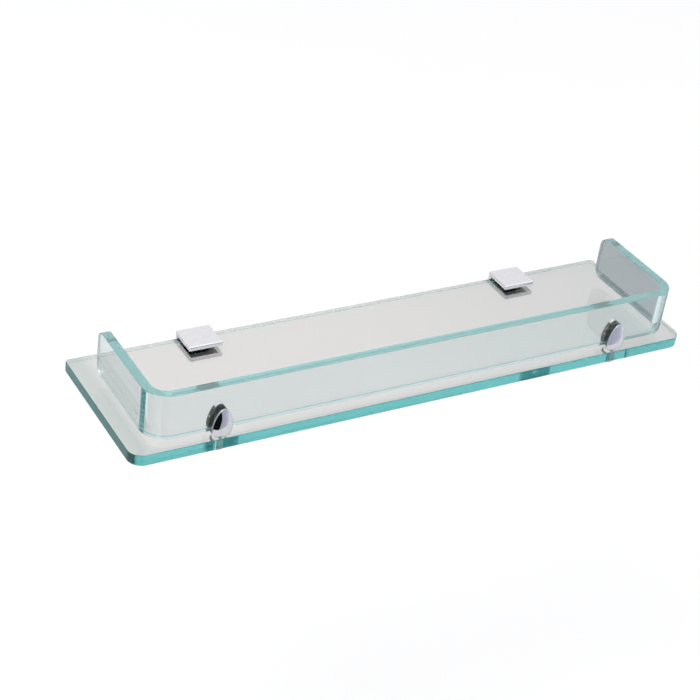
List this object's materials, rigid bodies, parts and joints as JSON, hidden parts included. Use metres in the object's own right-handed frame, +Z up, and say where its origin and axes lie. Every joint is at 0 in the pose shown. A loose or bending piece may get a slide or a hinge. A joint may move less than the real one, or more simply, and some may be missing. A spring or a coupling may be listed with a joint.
{
  "type": "wall shelf with brackets",
  "caption": "Glass wall shelf with a bent glass guard rail held in chrome clips, gripped at its rear edge by square chrome wall clamps.",
  "frame": {"origin": "the point on the wall plane behind the middle of the shelf's length, level with the plate's top face", "axes": "+X along the shelf to the viewer's right, +Y into the wall, +Z up"},
  "size_m": [0.525, 0.1454, 0.0621],
  "materials": {
    "clear_glass": "clear float glass, polished, with green-blue polished edges",
    "chrome": "bright chrome plating on cast zinc",
    "clear_liner": "soft clear vinyl",
    "dark_rubber": "matt black rubber",
    "nylon": "natural nylon",
    "steel": "plain stainless steel"
  },
  "bodies": {
    "root": {"shelf_plate": "clear_glass", "guard_rail": "clear_glass", "clip_body_left": "chrome", "clip_body_right": "chrome", "clip_liner_left": "clear_liner", "clip_liner_right": "clear_liner", "clip_gasket_left": "nylon", "clip_gasket_right": "nylon", "clip_sleeve_left": "nylon", "clip_sleeve_right": "nylon", "clip_washer_left": "nylon", "clip_washer_right": "nylon", "clip_bolt_left": "steel", "clip_bolt_right": "steel", "clip_screw_left": "steel", "clip_screw_right": "steel", "clamp_body_left": "chrome", "clamp_body_right": "chrome", "clamp_upper_pad_left": "clear_liner", "clamp_upper_pad_right": "clear_liner", "clamp_pressure_pad_left": "dark_rubber", "clamp_pressure_pad_right": "dark_rubber", "clamp_set_screw_left": "steel", "clamp_set_screw_right": "steel"}
  },
  "joints": []
}
